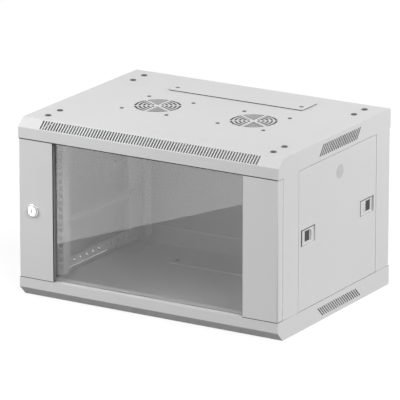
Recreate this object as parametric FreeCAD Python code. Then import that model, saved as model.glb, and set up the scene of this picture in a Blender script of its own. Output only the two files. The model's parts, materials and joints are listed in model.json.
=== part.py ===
"""Wall mount network cabinet, six rack units, glass door, removable side panels.

Millimetres. X runs left to right as seen from the door, Y from the door to the wall, Z up.
The origin is the middle of the base's underside.
"""
import FreeCAD, Part
import math
import os

from FreeCAD import Placement, Rotation, Vector

# ---------------------------------------------------------------- driving sizes
# Overall form
rack_opening = 451.0           # clear width between the 19-inch rails
side_space = 74.5              # from the rails' inner edges to the cabinet's sides
depth = 450.0                  # from the bands' front faces to the wall
band_height = 40.0             # side bands of the cover and of the base
sheet = 1.2                    # folded body sheet: cover, base, posts, struts
bend_radius = 2.0              # outer radius of the cover's and the base's long bends

# 19-inch equipment
rack_unit = 44.45
rack_units = 6
rack_hole_inset = 7.05         # rail's inner edge to the column of square holes
rack_hole_gaps = (15.875, 15.875, 12.7)
square_hole = 9.5
rail_end_margin = 11.65        # rail beyond the first and the last unit
rail_sheet = 2.0
rail_face = 22.0
rail_return = 20.0
rail_web = 56.0
rail_bolt_inset = 8.0          # from the free edge of the rail's web
rail_bolt_hole = 3.3
rail_setback = 51.0            # cabinet front to the front rails' faces
rear_rail_margin = 30.0        # least from the rear rails' bolts to the rear ends of the struts

# Sloped noses, lips and sill
cover_nose_run = 20.0
cover_nose_drop = 16.5
base_nose = 19.4
cover_lip = 20.0
sill_lip = 36.0

# Front vents in the cover's nose
front_vent_span = 498.0
front_vent_pitch = 6.3
front_vent_width = 3.1
front_vent_length = 21.5
front_vent_start = 1.6         # above the nose's lower bend

# Slanted side vents
side_vent_width = 4.2
side_vent_y = 18.3             # middle of the rows
cover_vent_span = 147.0
cover_vent_pitch = 8.15
cover_vent_bottom = 8.5        # above the lower edge of the band
cover_vent_height = 22.5
cover_vent_lean = 16.5         # towards the rear, going up
base_vent_span = 151.0
base_vent_pitch = 7.94
base_vent_bottom = 9.0
base_vent_height = 19.0
base_vent_lean = -20.0         # towards the front, going up

# Fan grilles
fan_offset = 112.0             # from the middle to each fan's centre
fan_y = 1.0
fan_hole_spacing = 105.0       # 120 mm fans
fan_hole_radius = 2.25
grille_radius = 48.0
grille_rings = 5
grille_pitch = 8.6
grille_slot = 4.6
grille_spoke = 5.0
grille_spoke_angles = (30, 90, 150)
grille_sides = 18              # the rings are cut as polygons

# Cable entries
cable_opening_width = 270.0
cable_opening_depth = 44.0
cable_plate_width = 316.0
cable_plate_depth = 63.0
cable_plate_clip = 3.6
cable_from_rear = 78.5
cable_seal = 1.6               # rubber frame under each plate
cable_seal_inset = 0.4

# Corner posts
door_depth = 18.0
door_seal_gap = 2.2            # closed door to the posts' front flanges
front_post_side = 58.8
rear_post_side = 53.5
post_front_flange = 22.0
post_rear_flange = 34.0
rebate_depth = 12.0
rebate_lip = 12.0
strut_flange = 26.0
post_base_gap = 1.0            # visible joint over the base band
tab_overlap = 34.0             # post tabs overlap the webs by this
tab_front_start = 39.0         # cabinet front to the front tabs
tab_rear_start = 13.0          # cabinet rear to the rear tabs
tab_length = 72.0
tab_width = 48.0

# Rear panel
rear_inset = 2.3               # the panel's face stands this far inside the bands
rear_panel_side_gap = 1.0
wall_hole_spacing_x = 566.0
wall_hole_spacing_z = 200.0
wall_hole_radius = 5.0
post_wall_opening = 15.0       # square, in the rear posts behind the wall holes

# Struts
strut_height = 20.0
strut_lip = 14.0               # lower lip, towards the side panel
strut_low_z = 50.8
strut_mid_z = 139.0
strut_top_from_top = 57.0
strut_hole_pitch = 24.0
strut_hole = 7.0               # square
strut_clearance = 2.5          # strut end tabs to the posts' rebates

# Ties between the front and the rear rails, inside their channels
tie_width = 16.0
tie_leg = 12.0
tie_end_gap = 2.0

# Side panels
panel_sheet = 1.2
panel_gap = 1.2                # around each side panel
panel_seat = 0.6               # panel edges to the posts' rebate lips
plug_radius = 14.0
plug_flange = 2.0
plug_flange_thickness = 1.5
plug_flange_sides = 8
plug_y = 17.5
plug_below_cover = 41.0
plug_set_in = 0.2

# Side panel latches
latch_pocket_length = 56.0
latch_pocket_height = 34.0
latch_pocket_depth = 4.0
latch_pocket_wall = 1.2
latch_edge_inset = 9.0         # panel's end to the pocket
latch_z = 189.0
latch_travel = 8.0
latch_plate = 1.5
latch_slide_gap = 0.1
latch_side_gap = 0.6
latch_window = 18.5
latch_window_height = 21.5
latch_window_front = 10.0      # slider's outer end to the window, front latches
latch_window_rear = 2.5        # the same on the rear latches
latch_lip_gap = 5.0            # window to the thumb lip
latch_lip_run = 9.0
latch_lip_rise = 2.0
latch_lip_bend = 2.4
latch_lip_height = 20.0
latch_slit = 1.3
grip_set_in = 0.4
grip_grooves = 3
grip_groove = 1.6
grip_groove_depth = 0.5
latch_web_length = 16.0
latch_web_height = 14.0
latch_bolt = 2.0
latch_bolt_height = 22.0
latch_bolt_depth = 15.5        # panel face to the bolt's outer face
latch_bolt_gap = 1.0           # retracted tip to the post
strike_clearance = 1.0

# Door
door_side_gap = 0.5
door_end_gap = 1.5
strip_width = 79.5
strip_corner = 3.0
strip_rear_lip = 12.0
glass_recess = 8.0
glass_thickness = 5.0
glass_overlap = 16.0
glass_end_gap = 1.0
gasket = 0.8

# Hinges
pivot_inset_x = 6.0            # door's side to the pivot line
pivot_inset_y = 6.0            # door's front to the pivot line
pin_radius = 2.5
running_clearance = 0.05
pin_travel = 7.0
pin_engagement = 4.0
hinge_ear = 4.0
hinge_bracket_width = 14.0
hinge_plate = 1.8
top_bracket_height = 46.0
bottom_bracket_height = 18.0
lever_radius = 1.5
lever_length = 9.0

# Cam lock
lock_inset = 33.0              # door's side to the lock's axis
lock_z = 183.5
lock_flange_radius = 14.0
lock_flange_thickness = 2.5
lock_face_radius = 10.6
lock_face_height = 6.5
lock_barrel_radius = 9.2
lock_barrel_clearance = 0.3
plug_barrel_radius = 7.6
key_slot_width = 2.4
key_slot_height = 8.5
key_slot_depth = 6.0
cam_thickness = 2.0
cam_width = 12.0
cam_reach = 26.0
cam_gap = 0.5                  # locked cam to the post's front flange
lock_nut_radius = 13.0
lock_nut_height = 4.0
lock_tail = 3.5                # half the square tail

# Plain round pieces
round_sides = 24               # lock ring, blank plugs
barrel_sides = 12              # lock barrel and the nut's bore

# ---------------------------------------------------------------- derived places
width = rack_opening + 2 * side_space      # over the side panels
height = 2 * band_height + rack_units * rack_unit + 2 * rail_end_margin
side = width / 2
front = -depth / 2
rear = depth / 2
cover_edge = height - band_height          # underside of the cover's bands
post_front = front + door_depth + door_seal_gap
post_rear = rear - rear_inset - sheet
front_seam = post_front + front_post_side  # front posts to the side panels
rear_seam = post_rear - rear_post_side
rebate_x = side - rebate_depth
strut_front = front_seam + rebate_lip
strut_rear = rear_seam - rebate_lip
rail_inner = rack_opening / 2
rail_outer = rail_inner + rail_face
front_rail_y = front + rail_setback
front_bolt_y = front_rail_y + rail_web - rail_bolt_inset
rear_rail_steps = int((strut_rear - rear_rail_margin - front_bolt_y) / strut_hole_pitch)
rear_bolt_y = front_bolt_y + rear_rail_steps * strut_hole_pitch
rear_rail_y = rear_bolt_y + rail_web - rail_bolt_inset
rail_bottom = band_height + post_base_gap
rail_top = cover_edge - post_base_gap
strut_levels = {"low": strut_low_z, "mid": strut_mid_z, "top": height - strut_top_from_top}
cable_y = rear - cable_from_rear
panel_bottom = band_height + panel_gap
panel_top = cover_edge - panel_gap
door_side = side - door_side_gap
door_bottom = band_height + door_end_gap
door_top = cover_edge - door_end_gap
door_rear = front + door_depth
strip_inner = side - door_side_gap - strip_width
glass_front = front + glass_recess
pivot_x = door_side - pivot_inset_x
pivot_y = front + pivot_inset_y
pin_bore = pin_radius + running_clearance
lock_x = -door_side + lock_inset
cam_front = post_front + sheet + cam_gap
lock_rear = cam_front - latch_slide_gap
plug_z = cover_edge - plug_below_cover
latch_plate_back = side - latch_pocket_depth + latch_slide_gap
latch_plate_face = latch_plate_back + latch_plate

SIDES = {"left": -1, "right": 1}
LATCH_WINDOWS = {"front": latch_window_front, "rear": latch_window_rear}


# ---------------------------------------------------------------- small tools
def box(x0, x1, y0, y1, z0, z1):
    """Box between two corners."""
    corner = Vector(min(x0, x1), min(y0, y1), min(z0, z1))
    return Part.makeBox(abs(x1 - x0), abs(y1 - y0), abs(z1 - z0), corner)


def rod(radius, start, direction, length):
    """Solid cylinder."""
    return Part.makeCylinder(radius, length, Vector(*start), Vector(*direction))


def plan_prism(points, z0, z1):
    """Prism over a closed outline in plan."""
    outline = [Vector(x, y, z0) for x, y in points]
    outline.append(outline[0])
    return Part.Face(Part.makePolygon(outline)).extrude(Vector(0, 0, z1 - z0))


def side_prism(points, x0, x1):
    """Prism over a closed outline drawn in Y and Z."""
    outline = [Vector(x0, y, z) for y, z in points]
    outline.append(outline[0])
    return Part.Face(Part.makePolygon(outline)).extrude(Vector(x1 - x0, 0, 0))


def front_prism(points, y0, y1):
    """Prism over a closed outline drawn in X and Z."""
    outline = [Vector(x, y0, z) for x, z in points]
    outline.append(outline[0])
    return Part.Face(Part.makePolygon(outline)).extrude(Vector(0, y1 - y0, 0))


def folded_outline(path, thickness):
    """Outline of a folded sheet: the path is its outer face, the wall lies on the path's left."""
    inner = []
    last = len(path) - 1
    for i, (x, y) in enumerate(path):
        normals = []
        for a, b in ((i - 1, i), (i, i + 1)):
            if a < 0 or b > last:
                continue
            dx, dy = path[b][0] - path[a][0], path[b][1] - path[a][1]
            length = math.hypot(dx, dy)
            normals.append((-dy / length, dx / length))
        nx, ny = normals[0]
        if len(normals) == 2:
            mx, my = normals[1]
            share = 1 + nx * mx + ny * my
            nx, ny = (nx + mx) / share, (ny + my) / share
        inner.append((x + nx * thickness, y + ny * thickness))
    return list(path) + inner[::-1]


def mirrored(shape):
    """Copy on the other side of the cabinet's middle plane."""
    return shape.mirror(Vector(0, 0, 0), Vector(1, 0, 0))


def on_side(shape, name):
    """A right-hand piece, mirrored for the left side."""
    return shape if SIDES[name] > 0 else mirrored(shape)


def save(shape, name):
    """Write one sub-part."""
    shape.exportStep("parts/" + name + ".step")


def prism_about(radius, sides, start, direction, length):
    """Regular prism along an axis; the radius reaches its corners."""
    step = 2 * math.pi / sides
    ring = [Vector(radius * math.cos(step * k), radius * math.sin(step * k), 0) for k in range(sides + 1)]
    solid = Part.Face(Part.makePolygon(ring)).extrude(Vector(0, 0, length))
    solid.Placement = Placement(Vector(*start), Rotation(Vector(0, 0, 1), Vector(*direction)))
    return solid


def hex_rod(radius, start, direction, length):
    """Plain hole or shank of a small fastener, kept to six sides."""
    return prism_about(radius, 6, start, direction, length)


# ---------------------------------------------------------------- cover and base
def tray(outline, inner_outline, free_edge):
    """Shallow tray: a prism across the cabinet with rounded bends, hollowed from its free edge."""
    body = side_prism(outline, -side, side)
    bends = []
    for edge in body.Edges:
        ends = [v.Point for v in edge.Vertexes]
        if any(abs(point.z - free_edge) < sheet for point in ends):
            continue
        if abs(ends[0].x - ends[1].x) > sheet:
            bends.append(edge)
    body = body.makeFillet(bend_radius, bends)
    return body.cut(side_prism(inner_outline, -side + sheet, side - sheet))


def cover_shell():
    nose_z = height - cover_nose_drop
    nose_y = front + cover_nose_run
    outline = [(front, cover_edge), (front, nose_z), (nose_y, height), (rear, height), (rear, cover_edge)]
    slope = math.hypot(cover_nose_run, cover_nose_drop)
    shift_z = sheet * (slope - cover_nose_run) / cover_nose_drop
    shift_y = sheet * (slope - cover_nose_drop) / cover_nose_run
    below = cover_edge - bend_radius
    inner = [(front + sheet, below), (front + sheet, nose_z - shift_z),
             (nose_y + shift_y, height - sheet), (rear - sheet, height - sheet), (rear - sheet, below)]
    return tray(outline, inner, cover_edge)


def base_shell():
    outline = [(front, band_height), (front, base_nose), (front + base_nose, 0), (rear, 0),
               (rear, band_height)]
    shift = sheet * (math.sqrt(2) - 1)
    above = band_height + bend_radius
    inner = [(front + sheet, above), (front + sheet, base_nose + shift),
             (front + base_nose + shift, sheet), (rear - sheet, sheet), (rear - sheet, above)]
    return tray(outline, inner, band_height)


def front_vents():
    """Slots down the cover's sloped nose."""
    angle = math.degrees(math.atan2(cover_nose_drop, cover_nose_run))
    slope = math.hypot(cover_nose_run, cover_nose_drop)
    middle = (front_vent_start + front_vent_length / 2) / slope
    count = int(front_vent_span / front_vent_pitch) + 1
    first = -front_vent_pitch * (count - 1) / 2
    slots = []
    for i in range(count):
        slot = box(-front_vent_width / 2, front_vent_width / 2, -front_vent_length / 2,
                   front_vent_length / 2, -3 * sheet, 3 * sheet)
        slot.Placement = Placement(
            Vector(first + i * front_vent_pitch, front + middle * cover_nose_run,
                   height - cover_nose_drop + middle * cover_nose_drop),
            Rotation(Vector(1, 0, 0), angle))
        slots.append(slot)
    return slots


def side_vents(bottom, tall, lean, span, pitch):
    """Slanted slots through both side bands."""
    count = round(span / pitch) + 1
    first = side_vent_y - pitch * (count - 1) / 2
    slots = []
    for i in range(count):
        middle = first + i * pitch
        low = middle - lean / 2
        high = middle + lean / 2
        half = side_vent_width / 2
        outline = [(low - half, bottom), (low + half, bottom), (high + half, bottom + tall),
                   (high - half, bottom + tall)]
        slots.append(side_prism(outline, -side - sheet, side + sheet))
    return slots


def fan_grille(x):
    """Ring slots between three spokes, with the fan's four screw holes."""
    z0 = height - 3 * sheet
    deep = 6 * sheet
    centre = (x, fan_y, z0)
    up = (0, 0, 1)
    rings = []
    for i in range(grille_rings):
        outer = grille_radius - i * grille_pitch
        ring = prism_about(outer, grille_sides, centre, up, deep)
        rings.append(ring.cut(prism_about(outer - grille_slot, grille_sides, centre, up, deep)))
    spokes = []
    for angle in grille_spoke_angles:
        bar = box(-2 * grille_radius, 2 * grille_radius, -grille_spoke / 2, grille_spoke / 2, 0, deep)
        bar.Placement = Placement(Vector(*centre), Rotation(Vector(*up), angle))
        spokes.append(bar)
    cutters = [Part.makeCompound(rings).cut(spokes)]
    half = fan_hole_spacing / 2
    for dx in (-half, half):
        for dy in (-half, half):
            cutters.append(hex_rod(fan_hole_radius, (x + dx, fan_y + dy, z0), up, deep))
    return cutters


def cable_opening(z0, z1):
    """Cutter of a cable opening."""
    half_x = cable_opening_width / 2
    half_y = cable_opening_depth / 2
    return box(-half_x, half_x, cable_y - half_y, cable_y + half_y, z0, z1)


def pivot_hole(z0, z1):
    """Cutter of a hinge pin's running hole."""
    return rod(pin_bore, (pivot_x, pivot_y, z0), (0, 0, 1), z1 - z0)


def top_cover():
    lip = box(-side + sheet, side - sheet, front + sheet / 2, front + cover_lip, cover_edge,
              cover_edge + sheet)
    cutters = front_vents()
    cutters += side_vents(cover_edge + cover_vent_bottom, cover_vent_height, cover_vent_lean,
                          cover_vent_span, cover_vent_pitch)
    for x in (-fan_offset, fan_offset):
        cutters += fan_grille(x)
    cutters.append(cable_opening(height - 3 * sheet, height + sheet))
    cutters.append(pivot_hole(cover_edge - sheet, cover_edge + 2 * sheet))
    return cover_shell().fuse(lip).cut(cutters).removeSplitter()


def base_pan():
    sill = box(-side + sheet, side - sheet, front + sheet / 2, front + sill_lip, band_height - sheet,
               band_height)
    cutters = side_vents(base_vent_bottom, base_vent_height, base_vent_lean, base_vent_span,
                         base_vent_pitch)
    cutters.append(cable_opening(-sheet, 3 * sheet))
    cutters.append(pivot_hole(band_height - 2 * sheet, band_height + sheet))
    return base_shell().fuse(sill).cut(cutters).removeSplitter()


def cable_outline(inset):
    """Outline of a cable plate with clipped corners, drawn in by an inset."""
    half_x = cable_plate_width / 2 - inset
    half_y = cable_plate_depth / 2 - inset
    outline = []
    for sx, sy in ((-1, -1), (1, -1), (1, 1), (-1, 1)):
        along = (sx * (half_x - cable_plate_clip), cable_y + sy * half_y)
        across = (sx * half_x, cable_y + sy * (half_y - cable_plate_clip))
        outline += [across, along] if sx * sy > 0 else [along, across]
    return outline


def cable_seal_frame(z0):
    """Rubber frame around a cable opening."""
    frame = plan_prism(cable_outline(cable_seal_inset), z0, z0 + cable_seal)
    return frame.cut(cable_opening(z0 - sheet, z0 + cable_seal + sheet))


def cable_cover(z0):
    """Flat plate over a cable opening."""
    return plan_prism(cable_outline(0), z0, z0 + sheet)


# ---------------------------------------------------------------- posts and rear panel
def post_tab(tab, overlap):
    """Joggled tabs at both ends of a post, inside the cover's and the base's bands."""
    outer = side - sheet
    inner = outer - sheet
    reach = side - tab_width
    upper = box(inner, outer, tab[0], tab[1], cover_edge + sheet / 2, height - sheet)
    upper = upper.fuse([
        box(inner, outer, overlap[0], overlap[1], cover_edge - tab_overlap, cover_edge + sheet),
        box(reach, outer, tab[0], tab[1], height - 2 * sheet, height - sheet)])
    lower = box(inner, outer, tab[0], tab[1], sheet, band_height - sheet / 2)
    lower = lower.fuse([
        box(inner, outer, overlap[0], overlap[1], band_height - sheet, band_height + tab_overlap),
        box(reach, outer, tab[0], tab[1], sheet, 2 * sheet)])
    return upper.fuse(lower)


def post(path, web, tab, strike_y):
    """Folded post with its tabs and the strike slot of the panel latch."""
    body = plan_prism(folded_outline(path, sheet), band_height + post_base_gap, cover_edge)
    overlap = (max(web[0] + 2 * sheet, tab[0]), min(web[1] - 2 * sheet, tab[1]))
    body = body.fuse(post_tab(tab, overlap))
    slot_x = side - latch_bolt_depth
    half = latch_bolt_height / 2 + strike_clearance
    slot = box(slot_x - latch_bolt - strike_clearance, slot_x + strike_clearance, strike_y - 2 * sheet,
               strike_y + 2 * sheet, latch_z - half, latch_z + half)
    return body.cut(slot).removeSplitter()


def front_post():
    path = [(side - post_front_flange, post_front), (side, post_front), (side, front_seam),
            (rebate_x, front_seam), (rebate_x, strut_front), (rebate_x - strut_flange, strut_front)]
    start = front + tab_front_start
    return post(path, (post_front, front_seam), (start, start + tab_length), strut_front)


def wall_hole_places():
    """X and Z of the four wall holes."""
    middle = (band_height + cover_edge) / 2
    half_x = wall_hole_spacing_x / 2
    half_z = wall_hole_spacing_z / 2
    return [(sx * half_x, middle + sz * half_z) for sx in (-1, 1) for sz in (-1, 1)]


def rear_post():
    path = [(rebate_x - strut_flange, strut_rear), (rebate_x, strut_rear), (rebate_x, rear_seam),
            (side, rear_seam), (side, post_rear), (side - post_rear_flange, post_rear)]
    end = rear - tab_rear_start
    body = post(path, (rear_seam, post_rear), (end - tab_length, end), strut_rear)
    half = post_wall_opening / 2
    openings = [box(x - half, x + half, post_rear - 2 * sheet, post_rear + sheet, z - half, z + half)
                for x, z in wall_hole_places() if x > 0]
    return body.cut(openings)


def rear_panel():
    """Flat rear panel on the rear posts' flanges, with the wall fixing holes."""
    edge = side - rear_panel_side_gap
    panel = box(-edge, edge, post_rear, post_rear + sheet, band_height + panel_gap, cover_edge - panel_gap)
    holes = [rod(wall_hole_radius, (x, post_rear - sheet, z), (0, 1, 0), 3 * sheet)
             for x, z in wall_hole_places()]
    return panel.cut(holes)


# ---------------------------------------------------------------- rails and struts
def rack_hole_heights():
    """Heights of the square holes, three in each unit."""
    start = band_height + rail_end_margin + rack_hole_gaps[2] / 2
    heights = []
    for unit in range(rack_units):
        z = start + unit * rack_unit
        heights += [z, z + rack_hole_gaps[0], z + rack_hole_gaps[0] + rack_hole_gaps[1]]
    return heights


def rail(face_y, towards):
    """Right-hand 19-inch rail; towards is +1 where the web runs to the rear."""
    back = face_y + towards * rail_return
    end = face_y + towards * rail_web
    path = [(rail_inner, back), (rail_inner, face_y), (rail_outer, face_y), (rail_outer, end)]
    if towards < 0:
        path = path[::-1]
    body = plan_prism(folded_outline(path, rail_sheet), rail_bottom, rail_top)
    half = square_hole / 2
    x = rail_inner + rack_hole_inset
    cutters = [box(x - half, x + half, face_y - 2 * rail_sheet, face_y + 2 * rail_sheet, z - half, z + half)
               for z in rack_hole_heights()]
    bolt_y = end - towards * rail_bolt_inset
    for z in strut_levels.values():
        start = (rail_outer - 2 * rail_sheet, bolt_y, z)
        cutters.append(hex_rod(rail_bolt_hole, start, (1, 0, 0), 4 * rail_sheet))
    return body.cut(cutters)


def strut(name):
    """Right-hand strut between the posts: an angle with two end tabs; the low one has a hole row."""
    level = strut_levels[name]
    outer = rebate_x - strut_clearance
    low = level - strut_height / 2
    high = level + strut_height / 2
    path = [(rail_outer, high), (rail_outer, low), (rail_outer + strut_lip, low)]
    body = front_prism(folded_outline(path, sheet), strut_front, strut_rear)
    for y in (strut_front, strut_rear - sheet):
        body = body.fuse(box(rail_outer, outer, y, y + sheet, low, high))
    steps = range(rear_rail_steps + 1) if name == "low" else (0, rear_rail_steps)
    half = strut_hole / 2
    cutters = []
    for step in steps:
        y = front_bolt_y + step * strut_hole_pitch
        cutters.append(box(rail_outer - sheet, rail_outer + 2 * sheet, y - half, y + half, level - half,
                           level + half))
    return body.cut(cutters).removeSplitter()


def rail_tie():
    """Right-hand angle between the rails: leg on their webs, ledge towards their returns."""
    outer = rail_outer - rail_sheet
    top = strut_mid_z + strut_height / 2
    path = [(outer - tie_width, top), (outer, top), (outer, top - tie_leg)]
    gap = rail_sheet + tie_end_gap
    return front_prism(folded_outline(path[::-1], sheet), front_rail_y + gap, rear_rail_y - gap)


# ---------------------------------------------------------------- side panels and latches
def side_panel():
    """Right-hand panel: flat sheet with four edges folded inwards, latch openings and lock hole."""
    y0 = front_seam + panel_gap
    y1 = rear_seam - panel_gap
    inner = rebate_x + panel_seat
    back = side - 2 * panel_sheet
    body = box(inner, side, y0, y1, panel_bottom, panel_top)
    body = body.cut(box(inner - panel_sheet, side - panel_sheet, y0 + panel_sheet, y1 - panel_sheet,
                        panel_bottom + panel_sheet, panel_top - panel_sheet))
    cutters = [latch_pocket_space(end, back, side + panel_sheet) for end in ("front", "rear")]
    cutters.append(prism_about(plug_radius, round_sides, (back, plug_y, plug_z), (1, 0, 0),
                               3 * panel_sheet))
    return body.cut(cutters)


def panel_lock_plug():
    """Blank plug in the panel's lock hole, with a flange behind the sheet."""
    inward = (-1, 0, 0)
    back = side - panel_sheet
    disc = prism_about(plug_radius, round_sides, (side - plug_set_in, plug_y, plug_z), inward,
                       panel_sheet - plug_set_in)
    flange = prism_about(plug_radius + plug_flange, plug_flange_sides, (back, plug_y, plug_z),
                         inward, plug_flange_thickness)
    return disc.fuse(flange)


def latch_frame(end):
    """Outer end of the pocket along Y and the direction from there into the panel."""
    if end == "front":
        return front_seam + panel_gap + latch_edge_inset, 1
    return rear_seam - panel_gap - latch_edge_inset, -1


def latch_pocket_space(end, x0, x1, grow=0.0):
    """Pocket opening as a box, grown by a wall where asked."""
    start, inward = latch_frame(end)
    y0 = start - inward * grow
    y1 = start + inward * (latch_pocket_length + grow)
    half = latch_pocket_height / 2 + grow
    return box(x0, x1, y0, y1, latch_z - half, latch_z + half)


def latch_web_span(end):
    """Both ends of the slider's web along Y, at rest."""
    start, inward = latch_frame(end)
    near = start + inward * (latch_travel + latch_side_gap + latch_window_front + latch_window / 2)
    return near, near + inward * latch_web_length


def latch_pocket(end):
    """Pocket behind the panel's opening, with a slot in its floor for the slider's web."""
    inward = latch_frame(end)[1]
    back = side - latch_pocket_depth - latch_pocket_wall
    tray_body = latch_pocket_space(end, back, side - panel_sheet, latch_pocket_wall)
    tray_body = tray_body.cut(latch_pocket_space(end, side - latch_pocket_depth, side))
    near, far = latch_web_span(end)
    half = latch_web_height / 2 + latch_side_gap
    slot = box(back - sheet, side - latch_pocket_depth + sheet, near - inward * (latch_travel + latch_side_gap),
               far + inward * latch_side_gap, latch_z - half, latch_z + half)
    return tray_body.cut(slot)


def slider_start(end):
    """Outer end of the slider's plate at rest, drawn back from the post."""
    start, inward = latch_frame(end)
    return start + inward * (latch_travel + latch_side_gap)


def latch_window_box(end, x0, x1):
    """Slider's window as a box between two depths."""
    inward = latch_frame(end)[1]
    y0 = slider_start(end) + inward * LATCH_WINDOWS[end]
    half = latch_window_height / 2
    return box(x0, x1, y0, y0 + inward * latch_window, latch_z - half, latch_z + half)


def thumb_lip(end, base_x, edge_y):
    """Raised lip with a bent edge, sloping back down to the plate, and the slit in front of it."""
    inward = latch_frame(end)[1]
    root = base_x - latch_plate / 4
    behind = base_x - 2 * latch_plate
    above = base_x + latch_plate
    halves = []
    slits = []
    for up in (-1, 1):
        run = Vector(0, -inward * latch_lip_bend, up * latch_lip_height / 2)
        ramp = [Vector(root, edge_y, latch_z), Vector(base_x + latch_lip_rise, edge_y, latch_z),
                Vector(root, edge_y + inward * latch_lip_run, latch_z)]
        halves.append(Part.Face(Part.makePolygon(ramp + ramp[:1])).extrude(run))
        cut_y = edge_y - inward * latch_slit
        cut = [Vector(behind, edge_y, latch_z), Vector(above, edge_y, latch_z),
               Vector(above, cut_y, latch_z), Vector(behind, cut_y, latch_z)]
        slits.append(Part.Face(Part.makePolygon(cut + cut[:1])).extrude(run))
    return halves, slits


def latch_slider(end):
    """Slider: finger plate in the pocket, web through the floor and bolt behind the panel."""
    start, inward = latch_frame(end)
    y0 = slider_start(end)
    y1 = start + inward * (latch_pocket_length - latch_side_gap)
    half = latch_pocket_height / 2 - latch_side_gap
    plate = box(latch_plate_back, latch_plate_face, y0, y1, latch_z - half, latch_z + half)
    lip_y = y0 + inward * (LATCH_WINDOWS[end] + latch_window + latch_lip_gap)
    halves, slits = thumb_lip(end, latch_plate_face, lip_y)
    window = latch_window_box(end, latch_plate_back - latch_plate, latch_plate_face + latch_plate)
    plate = plate.fuse(halves).cut(slits + [window])
    near, far = latch_web_span(end)
    bolt_face = side - latch_bolt_depth
    bolt_back = bolt_face - latch_bolt
    web_half = latch_web_height / 2
    web = box(bolt_back, latch_plate_back, near, far, latch_z - web_half, latch_z + web_half)
    tip = (strut_front if end == "front" else strut_rear) + inward * latch_bolt_gap
    bolt_half = latch_bolt_height / 2
    bolt = box(bolt_back, bolt_face, tip, far, latch_z - bolt_half, latch_z + bolt_half)
    return plate.fuse([web, bolt])


def latch_grip(end):
    """Grooved grip set in the slider's window."""
    inward = latch_frame(end)[1]
    face = latch_plate_face - grip_set_in
    grip = latch_window_box(end, latch_plate_back, face)
    half_y = grip_groove / 2
    half_z = latch_window_height / 2 - grip_groove
    grooves = []
    for k in range(grip_grooves):
        y = slider_start(end) + inward * (LATCH_WINDOWS[end] + (k + 1) * latch_window / (grip_grooves + 1))
        grooves.append(box(face - grip_groove_depth, face + sheet, y - half_y, y + half_y, latch_z - half_z,
                           latch_z + half_z))
    return grip.cut(grooves)


# ---------------------------------------------------------------- door
def round_front_edge(body, x, y, radius):
    """Round the upright edge at a place in plan."""
    place = Vector(x, y, 0)
    edges = [edge for edge in body.Edges
             if all(Vector(v.X, v.Y, 0).isEqual(place, sheet / 10) for v in edge.Vertexes)]
    return body.makeFillet(radius, edges)


def door_strip(holes):
    """Right-hand door strip: hollow folded sheet, open at the rear between its lips."""
    flange_end = strip_inner + glass_overlap
    flange_back = glass_front - gasket
    outline = [(strip_inner, front), (door_side, front), (door_side, door_rear),
               (flange_end, door_rear), (flange_end, flange_back), (strip_inner, flange_back)]
    body = round_front_edge(plan_prism(outline, door_bottom, door_top), door_side, front, strip_corner)
    low = door_bottom + sheet
    high = door_top - sheet
    inner_side = door_side - sheet
    inner_front = front + sheet
    cavity = [(strip_inner + sheet, inner_front), (inner_side, inner_front),
              (inner_side, door_rear - sheet), (flange_end - sheet, door_rear - sheet),
              (flange_end - sheet, flange_back - sheet), (strip_inner + sheet, flange_back - sheet)]
    hollow = round_front_edge(plan_prism(cavity, low, high), inner_side, inner_front, strip_corner - sheet)
    opening = box(flange_end - 2 * sheet, door_side - strip_rear_lip, flange_back, door_rear + sheet,
                  low, high)
    return body.cut([hollow, opening] + holes)


def strip_pivot_holes():
    """Holes for the hinge pins in the strip's ends."""
    return [pivot_hole(z, z + 3 * sheet) for z in (door_bottom - sheet, door_top - 2 * sheet)]


def lock_hole():
    """Round hole for the lock's barrel, drawn on the right-hand strip."""
    place = (-lock_x, front - sheet, lock_z)
    return rod(lock_barrel_radius + lock_barrel_clearance, place, (0, 1, 0), 3 * sheet)


def door_glass():
    reach = strip_inner + glass_overlap - 2 * gasket
    return box(-reach, reach, glass_front, glass_front + glass_thickness, door_bottom + glass_end_gap,
               door_top - glass_end_gap)


def glass_gasket():
    """Right-hand gasket: lines the strip's inner wall and turns between its flange and the glass."""
    reach = strip_inner + glass_overlap - 2 * gasket
    nose = front + gasket
    outline = [(strip_inner - gasket, nose), (strip_inner, nose), (strip_inner, glass_front - gasket),
               (reach, glass_front - gasket), (reach, glass_front), (strip_inner - gasket, glass_front)]
    return plan_prism(outline, door_bottom + glass_end_gap, door_top - glass_end_gap)


def hinge_bracket(z0, z1):
    """Bracket inside the strip: a plate on its outer wall and two ears that carry the pin."""
    wall = door_side - sheet
    y0 = front + sheet
    y1 = pivot_y + pivot_inset_y
    plate = box(wall - hinge_plate, wall, y0 + strip_corner, y1, z0, z1)
    ears = [box(wall - hinge_bracket_width, wall - hinge_plate / 2, y0 + strip_corner / 2, y1, z, z + hinge_ear)
            for z in (z0, z1 - hinge_ear)]
    corner = box(wall - strip_corner, wall + sheet, y0 - sheet, y0 + strip_corner, z0 - sheet, z1 + sheet)
    bore = pivot_hole(z0 - sheet, z1 + sheet)
    return plate.fuse(ears).cut([corner, bore]).removeSplitter()


def hinge_pin_top():
    """Spring-loaded pin with a thumb lever."""
    tip = cover_edge + pin_engagement
    bottom = door_top - sheet - top_bracket_height - pin_travel / 2
    pin = rod(pin_radius, (pivot_x, pivot_y, bottom), (0, 0, 1), tip - bottom)
    lever_z = door_top - sheet - top_bracket_height / 2
    lever = hex_rod(lever_radius, (pivot_x, pivot_y, lever_z), (-1, 0, 0), pin_radius + lever_length)
    return pin.fuse(lever).removeSplitter()


def hinge_pin_bottom():
    """Fixed pin pressed into the lower bracket."""
    low = band_height - sheet - pin_engagement
    high = door_bottom + sheet + bottom_bracket_height
    return rod(pin_radius, (pivot_x, pivot_y, low), (0, 0, 1), high - low)


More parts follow.
